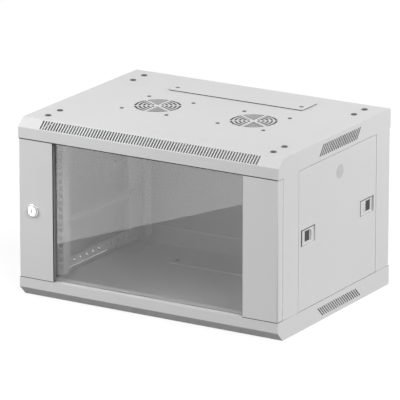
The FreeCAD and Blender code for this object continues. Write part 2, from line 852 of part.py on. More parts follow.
# ---------------------------------------------------------------- cam lock
def lock_body():
    """Lock case: barrel through the strip, flange and raised face ring, bored for the plug."""
    inward = (0, 1, 0)
    face = front - lock_face_height
    shoulder = front - lock_flange_thickness
    ring = prism_about(lock_face_radius, round_sides, (lock_x, face, lock_z), inward, lock_face_height)
    flange = prism_about(lock_flange_radius, round_sides, (lock_x, shoulder, lock_z), inward,
                         lock_flange_thickness)
    barrel = prism_about(lock_barrel_radius, barrel_sides, (lock_x, front - sheet, lock_z), inward,
                         lock_rear - front + sheet)
    bore = rod(plug_barrel_radius + running_clearance, (lock_x, face - sheet, lock_z), inward,
               lock_rear - face + 2 * sheet)
    return flange.fuse([ring, barrel]).cut(bore).removeSplitter()


def lock_nut():
    """Hexagon nut behind the strip's face."""
    y0 = front + sheet
    inward = (0, 1, 0)
    nut = hex_rod(lock_nut_radius, (lock_x, y0, lock_z), inward, lock_nut_height)
    return nut.cut(prism_about(lock_barrel_radius, barrel_sides, (lock_x, front, lock_z), inward,
                               lock_nut_height + 2 * sheet))


def lock_plug():
    """Turning plug with its key slot and the square tail that carries the cam."""
    face = front - lock_face_height + plug_set_in
    body = rod(plug_barrel_radius, (lock_x, face, lock_z), (0, 1, 0), lock_rear - face)
    tail = box(lock_x - lock_tail, lock_x + lock_tail, lock_rear, cam_front + cam_thickness,
               lock_z - lock_tail, lock_z + lock_tail)
    half_x = key_slot_width / 2
    half_z = key_slot_height / 2
    slot = box(lock_x - half_x, lock_x + half_x, face - sheet, face + key_slot_depth, lock_z - half_z,
               lock_z + half_z)
    return body.fuse(tail).cut(slot)


def lock_cam():
    """Cam on the plug's tail; it stands upright when open and turns behind the left post's flange."""
    half = cam_width / 2
    back = cam_front + cam_thickness
    outline = [(lock_x - half, lock_z - half), (lock_x + half, lock_z - half),
               (lock_x + half, lock_z + cam_reach - half / 2), (lock_x + half / 2, lock_z + cam_reach),
               (lock_x - half, lock_z + cam_reach)]
    tail = box(lock_x - lock_tail, lock_x + lock_tail, cam_front, back, lock_z - lock_tail,
               lock_z + lock_tail)
    return front_prism(outline, cam_front, back).cut(tail)


# ---------------------------------------------------------------- output
def main():
    os.makedirs("parts", exist_ok=True)
    save(top_cover(), "top_cover")
    save(base_pan(), "base_pan")
    save(rear_panel(), "rear_panel")
    for name, z0 in (("top", height), ("bottom", sheet)):
        save(cable_seal_frame(z0), "cable_seal_" + name)
        save(cable_cover(z0 + cable_seal), "cable_cover_" + name)
    for name in SIDES:
        save(on_side(front_post(), name), "post_front_" + name)
        save(on_side(rear_post(), name), "post_rear_" + name)
        save(on_side(rail(front_rail_y, 1), name), "rail_front_" + name)
        save(on_side(rail(rear_rail_y, -1), name), "rail_rear_" + name)
        save(on_side(rail_tie(), name), "rail_tie_" + name)
        for level in strut_levels:
            save(on_side(strut(level), name), "strut_" + level + "_" + name)
        save(on_side(side_panel(), name), "side_panel_" + name)
        save(on_side(panel_lock_plug(), name), "panel_plug_" + name)
        for end in LATCH_WINDOWS:
            tag = "_" + end + "_" + name
            save(on_side(latch_pocket(end), name), "latch_pocket" + tag)
            save(on_side(latch_slider(end), name), "latch_slider" + tag)
            save(on_side(latch_grip(end), name), "latch_grip" + tag)
        save(on_side(glass_gasket(), name), "glass_gasket_" + name)
    save(door_strip(strip_pivot_holes()), "door_strip_right")
    save(mirrored(door_strip([lock_hole()])), "door_strip_left")
    save(door_glass(), "door_glass")
    top = door_top - sheet
    bottom = door_bottom + sheet
    save(hinge_bracket(top - top_bracket_height, top), "hinge_bracket_top")
    save(hinge_bracket(bottom, bottom + bottom_bracket_height), "hinge_bracket_bottom")
    save(hinge_pin_top(), "hinge_pin_top")
    save(hinge_pin_bottom(), "hinge_pin_bottom")
    save(lock_body(), "lock_body")
    save(lock_nut(), "lock_nut")
    save(lock_plug(), "lock_plug")
    save(lock_cam(), "lock_cam")


main()
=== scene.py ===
"""Dresses the wall mount network cabinet: finishes, screws, bolts, seals, lock, studio and camera.

Metres. X runs left to right as seen from the door, Y from the door to the wall, Z up.
"""

import json
import math

import bmesh
import bpy
from bpy.props import FloatProperty, FloatVectorProperty, PointerProperty
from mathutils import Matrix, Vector


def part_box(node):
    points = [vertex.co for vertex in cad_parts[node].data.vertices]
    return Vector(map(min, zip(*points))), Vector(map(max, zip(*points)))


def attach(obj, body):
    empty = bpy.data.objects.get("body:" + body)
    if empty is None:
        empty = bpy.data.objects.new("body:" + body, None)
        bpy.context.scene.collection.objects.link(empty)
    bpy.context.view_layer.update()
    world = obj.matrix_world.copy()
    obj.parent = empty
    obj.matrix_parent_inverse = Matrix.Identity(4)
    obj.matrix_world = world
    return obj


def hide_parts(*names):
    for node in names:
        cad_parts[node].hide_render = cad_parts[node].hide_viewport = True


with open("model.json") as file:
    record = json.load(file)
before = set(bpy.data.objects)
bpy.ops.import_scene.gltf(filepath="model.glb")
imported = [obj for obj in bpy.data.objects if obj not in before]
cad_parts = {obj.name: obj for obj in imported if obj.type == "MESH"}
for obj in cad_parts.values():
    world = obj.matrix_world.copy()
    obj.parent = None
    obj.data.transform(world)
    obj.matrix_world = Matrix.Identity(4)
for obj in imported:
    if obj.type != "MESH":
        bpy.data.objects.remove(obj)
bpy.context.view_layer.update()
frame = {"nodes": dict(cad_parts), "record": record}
NODES = frame["nodes"]

bl_info = {
    "name": "Wall Mount Network Cabinet",
    "version": (1, 0, 0),
    "blender": (4, 5, 0),
    "location": "View3D > Sidebar > Cabinet",
    "description": "Finishes, small fasteners, lock and studio for a wall mount network cabinet",
    "category": "Object",
}

MM = 0.001
UP = Vector((0, 0, 1))
FORWARD = Vector((0, -1, 0))
BACK = Vector((0, 1, 0))
SIDES = (("left", -1), ("right", 1))
SMOOTH_UNDER = math.radians(35)
ROUNDING_STEPS = 3


# ---------------------------------------------------------------- places from the frame
COVER_LOW, COVER_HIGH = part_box("top_cover")
PLATE_LOW, PLATE_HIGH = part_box("cable_cover_top")
REAR_LOW, REAR_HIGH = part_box("rear_panel")
SHEET = 1.2 * MM
RAIL_SHEET = 2.0 * MM

# Screws and bolts
COVER_SCREW_X = COVER_HIGH.x - 40.0 * MM
COVER_SCREW_ROWS = (
    COVER_LOW.y + 49.0 * MM,
    COVER_LOW.y + 92.5 * MM,
    COVER_HIGH.y - 80.0 * MM,
    COVER_HIGH.y - 36.5 * MM,
)
PLATE_SCREW_X = PLATE_HIGH.x - 12.5 * MM
PLATE_SCREW_Y = PLATE_LOW.y + 18.6 * MM
REAR_SCREW_X = REAR_HIGH.x - 16.0 * MM
REAR_SCREW_INSET = 20.0 * MM
RAIL_BOLT_INSET = 8.0 * MM
STRUT_BOLT_INSET = 11.0 * MM

# Heads: counts of sides, and shares of their own radius or height
PAN_SIDES = 28
PAN_RIM = 0.4
CROSS_LENGTH = 1.1
CROSS_WIDTH = 0.24
CROSS_TAPER = 0.6
WASHER_SIDES = 24
WASHER_RADIUS = 0.98
WASHER_HEIGHT = 0.15
CHAMFER_WIDTH = 0.14
CHAMFER_HEIGHT = 0.1

# Lock
RING_SIDES = 48
LOCK_FACE_WALL = 3.0 * MM
LOCK_BARREL_WALL = 1.6 * MM
LOCK_SEAT = 1.4 * MM
LOCK_PLUG_GAP = 0.1 * MM
ROSE_WIDTH = 4.4 * MM

# Where the finish of the gaskets changes, and where painted shade lies in the latch pockets
GASKET_LIP = 3.2 * MM
POCKET_WALL = 1.2 * MM
SLIDER_START = 8.6 * MM
SLIDER_END = 0.2 * MM
SLIDER_MARGIN = 6.5 * MM
SLIDER_TOP = 2.8 * MM

# Where painted shade darkens the cut edges inside the vents
EDGE_SKIN = 0.04 * MM
GRILLE_REACH_X = 165.0 * MM
GRILLE_REACH_Y = 52.0 * MM
SIDE_VENT_REACH = 110.0 * MM
SIDE_VENT_LOW = 7.0 * MM
NOSE_RUN = 20.0 * MM
NOSE_DROP = 16.5 * MM
NOSE_MARGIN = 0.8 * MM
NOSE_VENT_REACH = 255.0 * MM

# Door seals and beads; the seals' black and the black line under the cover are painted shade in the door's
# gaps, and the beads' paler foam is painted light
SHADE_LINE_RISE = 0.9 * MM
SHADE_LINE_DEPTH = 0.35 * MM
SEAL_GAP = 0.15 * MM
SEAL_SET_IN = 0.1 * MM
SEAL_WIDTH = 12.0 * MM
SEAL_END = 2.0 * MM
SEAL_EDGE = 0.3 * MM
BEAD_SET_IN = 0.4 * MM
BEAD_WIDTH = 2.0 * MM
BEAD_RISE = 1.3 * MM

# Rounded edges
EDGE_ROUNDING = 0.35 * MM
EDGE_ANGLE = math.radians(50)
MERGE_WITHIN = 0.005 * MM
RING_MERGE_WITHIN = 0.01 * MM
ROUNDED = ("door_strip", "side_panel", "latch_slider", "latch_grip", "panel_plug", "cable_cover", "lock_plug",
           "lock_cam", "lock_nut", "hinge_bracket")

# Finishes
NOISE_LOW, NOISE_HIGH = 0.3, 0.7
RUBBER_ROUGHNESS = 0.6
FOAM_ROUGHNESS = 0.7
# how much paler the door beads are than the paint: painted light in the gap beside the door
PAINTED_LIGHT_GAIN = 1.25

# Floor, and the light card that lies on it
FLOOR_SIZE = 60
FLOOR_DROP = 0.2 * MM
FLOOR_SHOWN = 1.06                       # brightness of the floor, seen straight
LAMP_AIM = Vector((0, 0, 0.2))
CARD_NEAR = Vector((-0.424, -0.554))
CARD_FAR = Vector((-0.248, -0.982))
CARD_LENGTH = 1.6
CARD_WIDTH = 0.9
CARD_LIFT = 0.5 * MM
CARD_CUT = Vector((0.856, -0.517))       # square to the line where the card's glow starts
CARD_CUT_PLACE = -0.125                  # that line, along CARD_CUT
FANS = [mount for mount in frame["record"]["mounts"] if mount["name"].startswith("fan_")]


# ---------------------------------------------------------------- settings
class CabinetFinishes(bpy.types.PropertyGroup):
    """Colours and gloss of the finishes."""
    paint: FloatVectorProperty(
        name="Paint", description="Powder coat of the body and the door", subtype="COLOR",
        size=4, default=(0.62, 0.62, 0.62, 1), min=0, max=1)
    # painted shade for the walls inside the vents
    vent_shade_colour: FloatVectorProperty(
        name="Painted shade on cut edges", description="Painted shade on cut edges inside the vents", subtype="COLOR",
        size=4, default=(0.05, 0.05, 0.05, 1), min=0, max=1)
    inner_paint: FloatVectorProperty(
        name="Inner paint", description="Powder coat of the rails and struts", subtype="COLOR",
        size=4, default=(0.60, 0.60, 0.60, 1), min=0, max=1)
    paint_roughness: FloatProperty(
        name="Paint roughness", description="Roughness of the powder coat", subtype="FACTOR",
        default=0.52, min=0, max=1)
    glass: FloatVectorProperty(
        name="Glass", description="Tint of the door glass", subtype="COLOR",
        size=4, default=(0.64, 0.64, 0.64, 1), min=0, max=1)
    rubber: FloatVectorProperty(
        name="Rubber", description="Lip of the glass gaskets, and the door seals", subtype="COLOR",
        size=4, default=(0.02, 0.02, 0.02, 1), min=0, max=1)
    channel: FloatVectorProperty(
        name="Gasket channel", description="Glass gaskets behind their lip", subtype="COLOR",
        size=4, default=(0.3, 0.3, 0.3, 1), min=0, max=1)
    # painted shade for the margins in the latch pockets
    shade: FloatVectorProperty(
        name="Latch shade", description="Shaded margins in the latch pockets", subtype="COLOR",
        size=4, default=(0.09, 0.09, 0.09, 1), min=0, max=1)
    grip: FloatVectorProperty(
        name="Grip", description="Plastic grips of the panel latches", subtype="COLOR",
        size=4, default=(0.012, 0.012, 0.013, 1), min=0, max=1)
    blank: FloatVectorProperty(
        name="Blank plug", description="Plastic plug in the side panel", subtype="COLOR",
        size=4, default=(0.47, 0.47, 0.47, 1), min=0, max=1)
    chrome: FloatVectorProperty(
        name="Chrome", description="Lock case and plug", subtype="COLOR",
        size=4, default=(0.80, 0.80, 0.80, 1), min=0, max=1)
    nickel: FloatVectorProperty(
        name="Nickel", description="Rose plate round the lock", subtype="COLOR",
        size=4, default=(0.42, 0.42, 0.42, 1), min=0, max=1)
    zinc: FloatVectorProperty(
        name="Zinc", description="Pins, brackets, nuts and bolts", subtype="COLOR",
        size=4, default=(0.62, 0.62, 0.60, 1), min=0, max=1)
    screw: FloatVectorProperty(
        name="Dark screws", description="Dark zinc of the cover's, plates' and rear panel's screws",
        subtype="COLOR",
        size=4, default=(0.10, 0.10, 0.10, 1), min=0, max=1)


class CabinetSizes(bpy.types.PropertyGroup):
    """Sizes of the small fasteners and of the lock's trim."""
    cover_screw_radius: FloatProperty(
        name="Cover screw radius", description="Head of the screws on the cover", unit="LENGTH",
        default=6.0 * MM, min=2 * MM, max=8 * MM)
    cover_screw_height: FloatProperty(
        name="Cover screw height", description="Head height of the screws on the cover", unit="LENGTH",
        default=3.2 * MM, min=1 * MM, max=5 * MM)
    plate_screw_radius: FloatProperty(
        name="Plate screw radius", description="Head of the screws on the cable plates", unit="LENGTH",
        default=4.6 * MM, min=2 * MM, max=8 * MM)
    plate_screw_height: FloatProperty(
        name="Plate screw height", description="Head height of the screws on the cable plates", unit="LENGTH",
        default=0.3 * MM, min=0.1 * MM, max=2 * MM)
    fan_screw_radius: FloatProperty(
        name="Fan screw radius", description="Head of the fans' screws", unit="LENGTH",
        default=4.0 * MM, min=2 * MM, max=6 * MM)
    rear_screw_radius: FloatProperty(
        name="Rear screw radius", description="Head of the rear panel's screws", unit="LENGTH",
        default=4.6 * MM, min=2 * MM, max=8 * MM)
    flat_screw_height: FloatProperty(
        name="Flat screw height", description="Head height of the fans' and the rear panel's screws",
        unit="LENGTH",
        default=1.8 * MM, min=1 * MM, max=2 * MM)
    bolt_radius: FloatProperty(
        name="Bolt radius", description="Corner radius of the hexagon heads", unit="LENGTH",
        default=5.6 * MM, min=3 * MM, max=8 * MM)
    bolt_height: FloatProperty(
        name="Bolt height", description="Height of the hexagon heads", unit="LENGTH",
        default=3.6 * MM, min=2 * MM, max=6 * MM)


class CabinetStage(bpy.types.PropertyGroup):
    """Camera and light."""
    azimuth: FloatProperty(
        name="Azimuth", description="Camera's turn round the cabinet from its front", subtype="ANGLE",
        default=math.radians(31.05))
    elevation: FloatProperty(
        name="Elevation", description="Camera's height above the horizon", subtype="ANGLE",
        default=math.radians(16.424))
    distance: FloatProperty(
        name="Distance", description="Camera to the aim point", unit="LENGTH", default=8.7)
    lens: FloatProperty(
        name="Lens", description="Focal length in millimetres", default=390.5)
    aim: FloatVectorProperty(
        name="Aim", description="Point the camera looks at", unit="LENGTH", size=3,
        default=(0.00701, -0.03157, 0.19822))
    sky: FloatProperty(
        name="Sky", description="Strength of the even light from all round", default=0.3, min=0)
    key: FloatProperty(
        name="Key light", description="Strength of the light high at the front right", default=1.3, min=0)
    fill: FloatProperty(
        name="Fill light", description="Strength of the wide light at the front left", default=1.16, min=0)
    back: FloatProperty(
        name="Back light", description="Strength of the wide light behind at the right", default=1.58, min=0)
    left_lamp: FloatProperty(
        name="Left lamp", description="Power of the soft lamp at the left", default=10.0, min=0)
    right_lamp: FloatProperty(
        name="Right lamp", description="Power of the soft lamp behind at the right", default=2.4, min=0)
    card: FloatProperty(
        name="Card", description="Brightness of the card that the glass shows", default=3.4, min=0)
    floor_mirrored: FloatProperty(
        name="Mirrored floor", description="Brightness of the floor in glass and metal", default=1.5, min=0)
    floor_white: FloatProperty(
        name="Floor white", description="How little the floor shows shadows", subtype="FACTOR",
        default=0.8, min=0, max=1)
    floor_bounce: FloatProperty(
        name="Floor bounce", description="Share of light the floor gives back", subtype="FACTOR",
        default=0.1, min=0, max=1)


# ---------------------------------------------------------------- finishes
def new_material(name, slot_colour):
    """Material with a node tree, its Principled shader and Object coordinates."""
    material = bpy.data.materials.new(name)
    material.use_nodes = True
    material.diffuse_color = slot_colour
    nodes = material.node_tree.nodes
    shader = nodes["Principled BSDF"]
    place = nodes.new("ShaderNodeTexCoord").outputs["Object"]
    return material, shader, place


def noise(material, place, scale, detail=2.0, stretch=None):
    """Noise over the piece; scale is in waves to the metre."""
    tree = material.node_tree
    if stretch:
        mapping = tree.nodes.new("ShaderNodeMapping")
        mapping.inputs["Scale"].default_value = stretch
        tree.links.new(place, mapping.inputs["Vector"])
        place = mapping.outputs["Vector"]
    texture = tree.nodes.new("ShaderNodeTexNoise")
    texture.inputs["Scale"].default_value = scale
    texture.inputs["Detail"].default_value = detail
    tree.links.new(place, texture.inputs["Vector"])
    return texture.outputs["Fac"]


def spread(material, factor, low, high):
    """Colour ramp between two colours over the middle of a noise."""
    tree = material.node_tree
    ramp = tree.nodes.new("ShaderNodeValToRGB")
    ramp.color_ramp.elements[0].position = NOISE_LOW
    ramp.color_ramp.elements[1].position = NOISE_HIGH
    ramp.color_ramp.elements[0].color = low
    ramp.color_ramp.elements[1].color = high
    tree.links.new(factor, ramp.inputs["Fac"])
    return ramp.outputs["Color"]


def spread_value(material, factor, low, high):
    """Number that runs between two values with a noise."""
    tree = material.node_tree
    remap = tree.nodes.new("ShaderNodeMapRange")
    remap.inputs["From Min"].default_value = NOISE_LOW
    remap.inputs["From Max"].default_value = NOISE_HIGH
    remap.inputs["To Min"].default_value = low
    remap.inputs["To Max"].default_value = high
    tree.links.new(factor, remap.inputs["Value"])
    return remap.outputs["Result"]


def relief(material, shader, height, strength, depth):
    """Bump on a shader from a height."""
    tree = material.node_tree
    bump = tree.nodes.new("ShaderNodeBump")
    bump.inputs["Strength"].default_value = strength
    bump.inputs["Distance"].default_value = depth
    tree.links.new(height, bump.inputs["Height"])
    tree.links.new(bump.outputs["Normal"], shader.inputs["Normal"])


def scaled(colour, factor):
    """Colour made darker or lighter."""
    return [min(1.0, c * factor) for c in colour[:3]] + [1.0]


def grained(name, colour, roughness, tone, gloss, grain):
    """Paint or plastic; tone and gloss are (waves, change) and grain is (waves, strength, depth)."""
    material, shader, place = new_material(name, colour)
    tree = material.node_tree
    waves, change = tone
    shades = spread(material, noise(material, place, waves), scaled(colour, 1 - change),
                    scaled(colour, 1 + change))
    tree.links.new(shades, shader.inputs["Base Color"])
    waves, change = gloss
    rough = spread_value(material, noise(material, place, waves), roughness - change, roughness + change)
    tree.links.new(rough, shader.inputs["Roughness"])
    waves, strength, depth = grain
    relief(material, shader, noise(material, place, waves), strength, depth)
    return material


def powder_coat(name, colour, roughness):
    """Satin paint with a faint orange peel and a slight change of tone over each sheet."""
    material = grained(name, colour, roughness, tone=(5.0, 0.015), gloss=(40.0, 0.03),
                       grain=(700.0, 0.12, 0.05 * MM))
    material.node_tree.nodes["Principled BSDF"].inputs["Specular IOR Level"].default_value = 0.3
    return material


def moulded_plastic(name, colour, roughness):
    """Plastic, rubber or foam with a fine mould grain."""
    return grained(name, colour, roughness, tone=(60.0, 0.06), gloss=(300.0, 0.05),
                   grain=(1800.0, 0.15, 0.04 * MM))


def maths(tree, operation, *values):
    """One Math node; each value is a number or another node's output."""
    node = tree.nodes.new("ShaderNodeMath")
    node.operation = operation
    for socket, value in zip(node.inputs, values):
        if isinstance(value, bpy.types.NodeSocket):
            tree.links.new(value, socket)
        else:
            socket.default_value = value
    return node.outputs["Value"]


def between(tree, value, low, high):
    """One where a value lies between two limits."""
    return maths(tree, "COMPARE", value, (low + high) / 2, (high - low) / 2)


def all_of(tree, *tests):
    """One where every test is one."""
    result = tests[0]
    for test in tests[1:]:
        result = maths(tree, "MULTIPLY", result, test)
    return result


def recoloured(material, colour, mask):
    """Another colour over the part of a piece where the mask of its coordinates is one."""
    tree = material.node_tree
    shader = tree.nodes["Principled BSDF"]
    place = tree.nodes.new("ShaderNodeSeparateXYZ")
    tree.links.new(tree.nodes["Texture Coordinate"].outputs["Object"], place.inputs["Vector"])
    mix = tree.nodes.new("ShaderNodeMix")
    mix.data_type = "RGBA"
    tree.links.new(mask(tree, *(place.outputs[axis] for axis in "XYZ")), mix.inputs["Factor"])
    tree.links.new(shader.inputs["Base Color"].links[0].from_socket, mix.inputs["A"])
    mix.inputs["B"].default_value = colour
    tree.links.new(mix.outputs["Result"], shader.inputs["Base Color"])


def painted_vent_mask(tree, x, y, z):
    """One on the cut edges inside the vents of the cover and the base, where painted shade goes."""
    x = maths(tree, "ABSOLUTE", x)
    low, high = COVER_LOW, COVER_HIGH
    grilles = all_of(tree, between(tree, z, high.z - SHEET + EDGE_SKIN, high.z - EDGE_SKIN),
                     between(tree, x, 0, GRILLE_REACH_X), between(tree, y, -GRILLE_REACH_Y, GRILLE_REACH_Y))
    flanks = all_of(tree, between(tree, x, high.x - SHEET + EDGE_SKIN, high.x - EDGE_SKIN),
                    between(tree, y, -SIDE_VENT_REACH, SIDE_VENT_REACH),
                    maths(tree, "MAXIMUM", between(tree, z, low.z + SIDE_VENT_LOW, high.z - SIDE_VENT_LOW),
                          between(tree, z, SIDE_VENT_LOW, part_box("base_pan")[1].z - SIDE_VENT_LOW)))
    slope = math.hypot(NOSE_RUN, NOSE_DROP)
    depth = maths(tree, "ADD", maths(tree, "MULTIPLY", y, -NOSE_DROP / slope),
                  maths(tree, "MULTIPLY", z, NOSE_RUN / slope))
    surface = (-low.y * NOSE_DROP + (high.z - NOSE_DROP) * NOSE_RUN) / slope
    nose = all_of(tree, between(tree, depth, surface - SHEET + EDGE_SKIN, surface - EDGE_SKIN),
                  between(tree, z, high.z - NOSE_DROP + NOSE_MARGIN, high.z - NOSE_MARGIN),
                  between(tree, x, 0, NOSE_VENT_REACH))
    return maths(tree, "MAXIMUM", maths(tree, "MAXIMUM", grilles, flanks), nose)


def gasket_channel(tree, x, y, z):
    """One behind the front lip of the glass gaskets."""
    return maths(tree, "GREATER_THAN", y, COVER_LOW.y + GASKET_LIP)


def painted_latch_shade(tree, x, y, z):
    """One on the margins of the latch sliders where painted shade stands for the shade of their pockets."""
    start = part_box("latch_pocket_front_right")[0].y + POCKET_WALL + SLIDER_START
    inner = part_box("latch_slider_rear_right")[0].y
    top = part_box("latch_slider_front_right")[1].z
    ends = maths(tree, "MAXIMUM", between(tree, y, start - SLIDER_END, start + SLIDER_END),
                 between(tree, y, inner - SLIDER_MARGIN, inner + SLIDER_MARGIN))
    return maths(tree, "MAXIMUM", ends, maths(tree, "GREATER_THAN", z, top - SLIDER_TOP))


def painted_pocket_shade(tree, x, y, z):
    """One in the gap that the front latch pockets leave before their sliders, where painted shade goes."""
    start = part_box("latch_pocket_front_right")[0].y
    return between(tree, y, start, start + POCKET_WALL + SLIDER_START)


def worked_metal(name, colour, roughness, stretch):
    """Bare or plated metal with fine tool marks along one direction."""
    material, shader, place = new_material(name, colour)
    tree = material.node_tree
    shader.inputs["Metallic"].default_value = 1.0
    marks = noise(material, place, 400.0, 3.0, stretch)
    tone = spread(material, marks, scaled(colour, 0.92), scaled(colour, 1.05))
    tree.links.new(tone, shader.inputs["Base Color"])
    rough = spread_value(material, marks, roughness - 0.04, roughness + 0.04)
    tree.links.new(rough, shader.inputs["Roughness"])
    relief(material, shader, marks, 0.08, 0.02 * MM)
    return material


def tinted_glass(name, colour):
    """Polished grey glass that lets lamps through; its tint varies a little."""
    material, shader, place = new_material(name, colour)
    tree = material.node_tree
    tint = spread(material, noise(material, place, 8.0), scaled(colour, 0.98), colour)
    tree.links.new(tint, shader.inputs["Base Color"])
    shader.inputs["Transmission Weight"].default_value = 1.0
    shader.inputs["IOR"].default_value = 1.58
    shader.inputs["Roughness"].default_value = 0.0
    clear = tree.nodes.new("ShaderNodeBsdfTransparent")
    clear.inputs["Color"].default_value = scaled(colour, 1.1)
    path = tree.nodes.new("ShaderNodeLightPath")
    mix = tree.nodes.new("ShaderNodeMixShader")
    tree.links.new(path.outputs["Is Shadow Ray"], mix.inputs["Fac"])
    tree.links.new(shader.outputs["BSDF"], mix.inputs[1])
    tree.links.new(clear.outputs["BSDF"], mix.inputs[2])
    tree.links.new(mix.outputs["Shader"], tree.nodes["Material Output"].inputs["Surface"])
    return material


def seen_directly(tree):
    """One where a ray comes from the camera, a mirror or glass, and nought for bounced light."""
    path = tree.nodes.new("ShaderNodeLightPath")
    seen = path.outputs["Is Camera Ray"]
    for ray in ("Is Glossy Ray", "Is Transmission Ray"):
        seen = maths(tree, "MAXIMUM", seen, path.outputs[ray])
    return seen


def finish_of(name):
    """Material by its name; the finishes operator has made them all."""
    return bpy.data.materials[name]


def dress(piece, name):
    """Give a piece one finish."""
    piece.data.materials.clear()
    piece.data.materials.append(finish_of(name))


# ---------------------------------------------------------------- modelling
def deselect():
    """Leave nothing selected."""
    bpy.ops.object.select_all(action="DESELECT")


def pick_faces(piece, test):
    """Select the faces whose middle and normal pass the test, in edit mode."""
    bpy.ops.mesh.select_mode(type="FACE")
    bpy.ops.mesh.select_all(action="DESELECT")
    mesh = bmesh.from_edit_mesh(piece.data)
    for face in mesh.faces:
        face.select_set(test(face.calc_center_median(), face.normal))
    bmesh.update_edit_mesh(piece.data)


def pick_edges(piece, test):
    """Select the edges whose two ends pass the test, in edit mode."""
    bpy.ops.mesh.select_mode(type="EDGE")
    bpy.ops.mesh.select_all(action="DESELECT")
    mesh = bmesh.from_edit_mesh(piece.data)
    for edge in mesh.edges:
        edge.select_set(test(edge.verts[0].co, edge.verts[1].co))
    bmesh.update_edit_mesh(piece.data)


def settle(piece):
    """Put a piece's place and turn into its mesh."""
    deselect()
    piece.select_set(True)
    bpy.context.view_layer.objects.active = piece
    bpy.ops.object.transform_apply(location=True, rotation=True, scale=True)


def placed_copy(source, name, place, direction):
    """Copy of a piece modelled at the origin along +Z, moved and turned, with its own mesh."""
    copy = bpy.data.objects.new(name, source.data.copy())
    bpy.context.scene.collection.objects.link(copy)
    copy.location = place
    copy.rotation_mode = "QUATERNION"
    copy.rotation_quaternion = Vector(direction).to_track_quat("Z", "Y")
    settle(copy)
    copy.rotation_mode = "XYZ"
    return copy


def carve(piece, cutter):
    """Cut one closed piece out of another and throw the cutter away."""
    trim = piece.modifiers.new("carve", "BOOLEAN")
    trim.operation = "DIFFERENCE"
    trim.solver = "EXACT"
    trim.object = cutter
    deselect()
    bpy.context.view_layer.objects.active = piece
    bpy.ops.object.modifier_apply(modifier=trim.name)
    discard(cutter)


def pan_head(radius, height):
    """Pan head with a rounded rim and a cross recess, its seat at the origin."""
    deselect()
    bpy.ops.mesh.primitive_cylinder_add(vertices=PAN_SIDES, radius=radius, depth=height,
                                        location=(0, 0, height / 2))
    head = bpy.context.object
    bpy.ops.object.mode_set(mode="EDIT")
    pick_edges(head, lambda a, b: min(a.z, b.z) > 0.9 * height)
    bpy.ops.mesh.bevel(offset=PAN_RIM * height, segments=ROUNDING_STEPS, affect="EDGES")
    bpy.ops.object.mode_set(mode="OBJECT")
    length, width = CROSS_LENGTH * radius, CROSS_WIDTH * radius
    for arm in ((length, width), (width, length)):
        deselect()
        bpy.ops.mesh.primitive_cube_add(size=1, location=(0, 0, height), scale=(*arm, height))
        cutter = bpy.context.object
        bpy.ops.object.mode_set(mode="EDIT")
        pick_faces(cutter, lambda middle, normal: normal.z < -0.9)
        bpy.ops.transform.resize(value=(CROSS_TAPER, CROSS_TAPER, 1))
        bpy.ops.object.mode_set(mode="OBJECT")
        carve(head, cutter)
    deselect()
    head.select_set(True)
    bpy.context.view_layer.objects.active = head
    bpy.ops.object.shade_smooth_by_angle(angle=SMOOTH_UNDER)
    return head


def hexagon_head(radius, height):
    """Hexagon head on its washer face, with chamfered corners, its seat at the origin."""
    seat = WASHER_HEIGHT * height
    deselect()
    bpy.ops.mesh.primitive_cylinder_add(vertices=WASHER_SIDES, radius=WASHER_RADIUS * radius, depth=seat,
                                        location=(0, 0, seat / 2))
    washer = bpy.context.object
    deselect()
    bpy.ops.mesh.primitive_cylinder_add(vertices=6, radius=radius, depth=height - seat,
                                        location=(0, 0, (height + seat) / 2))
    head = bpy.context.object
    bpy.ops.object.mode_set(mode="EDIT")
    pick_faces(head, lambda middle, normal: normal.z > 0.99)
    bpy.ops.mesh.inset(thickness=CHAMFER_WIDTH * radius, depth=CHAMFER_HEIGHT * height)
    bpy.ops.object.mode_set(mode="OBJECT")
    deselect()
    washer.select_set(True)
    head.select_set(True)
    bpy.context.view_layer.objects.active = head
    bpy.ops.object.join()
    return head


def bar(low, high, rounding):
    """Bar between two corners with rounded long edges."""
    low, high = Vector(low), Vector(high)
    size = high - low
    deselect()
    bpy.ops.mesh.primitive_cube_add(size=1, location=(low + high) / 2, scale=size)
    piece = bpy.context.object
    settle(piece)
    longest = max(range(3), key=lambda axis: size[axis])
    bpy.ops.object.mode_set(mode="EDIT")
    pick_edges(piece, lambda a, b: abs(a[longest] - b[longest]) > size[longest] / 2)
    bpy.ops.mesh.bevel(offset=rounding, segments=ROUNDING_STEPS, affect="EDGES")
    bpy.ops.object.mode_set(mode="OBJECT")
    bpy.ops.object.shade_smooth_by_angle(angle=SMOOTH_UNDER)
    return piece


def turned(profile, name):
    """Ring turned about +Z from a closed profile of (radius, height) points."""
    deselect()
    radius, level = profile[0]
    bpy.ops.mesh.primitive_circle_add(vertices=RING_SIDES, radius=radius, fill_type="NOTHING",
                                      location=(0, 0, level))
    piece = bpy.context.object
    piece.name = name
    settle(piece)
    bpy.ops.object.mode_set(mode="EDIT")
    bpy.ops.mesh.select_mode(type="EDGE")
    bpy.ops.mesh.select_all(action="SELECT")
    for next_radius, next_level in profile[1:] + profile[:1]:
        bpy.ops.mesh.extrude_edges_move(
            TRANSFORM_OT_translate={"value": (0, 0, next_level - level)})
        growth = next_radius / radius
        bpy.ops.transform.resize(value=(growth, growth, 1), center_override=(0, 0, next_level))
        radius, level = next_radius, next_level
    bpy.ops.mesh.select_all(action="SELECT")
    bpy.ops.mesh.remove_doubles(threshold=RING_MERGE_WITHIN)
    bpy.ops.mesh.normals_make_consistent(inside=False)
    bpy.ops.object.mode_set(mode="OBJECT")
    bpy.ops.object.shade_smooth_by_angle(angle=SMOOTH_UNDER)
    return piece


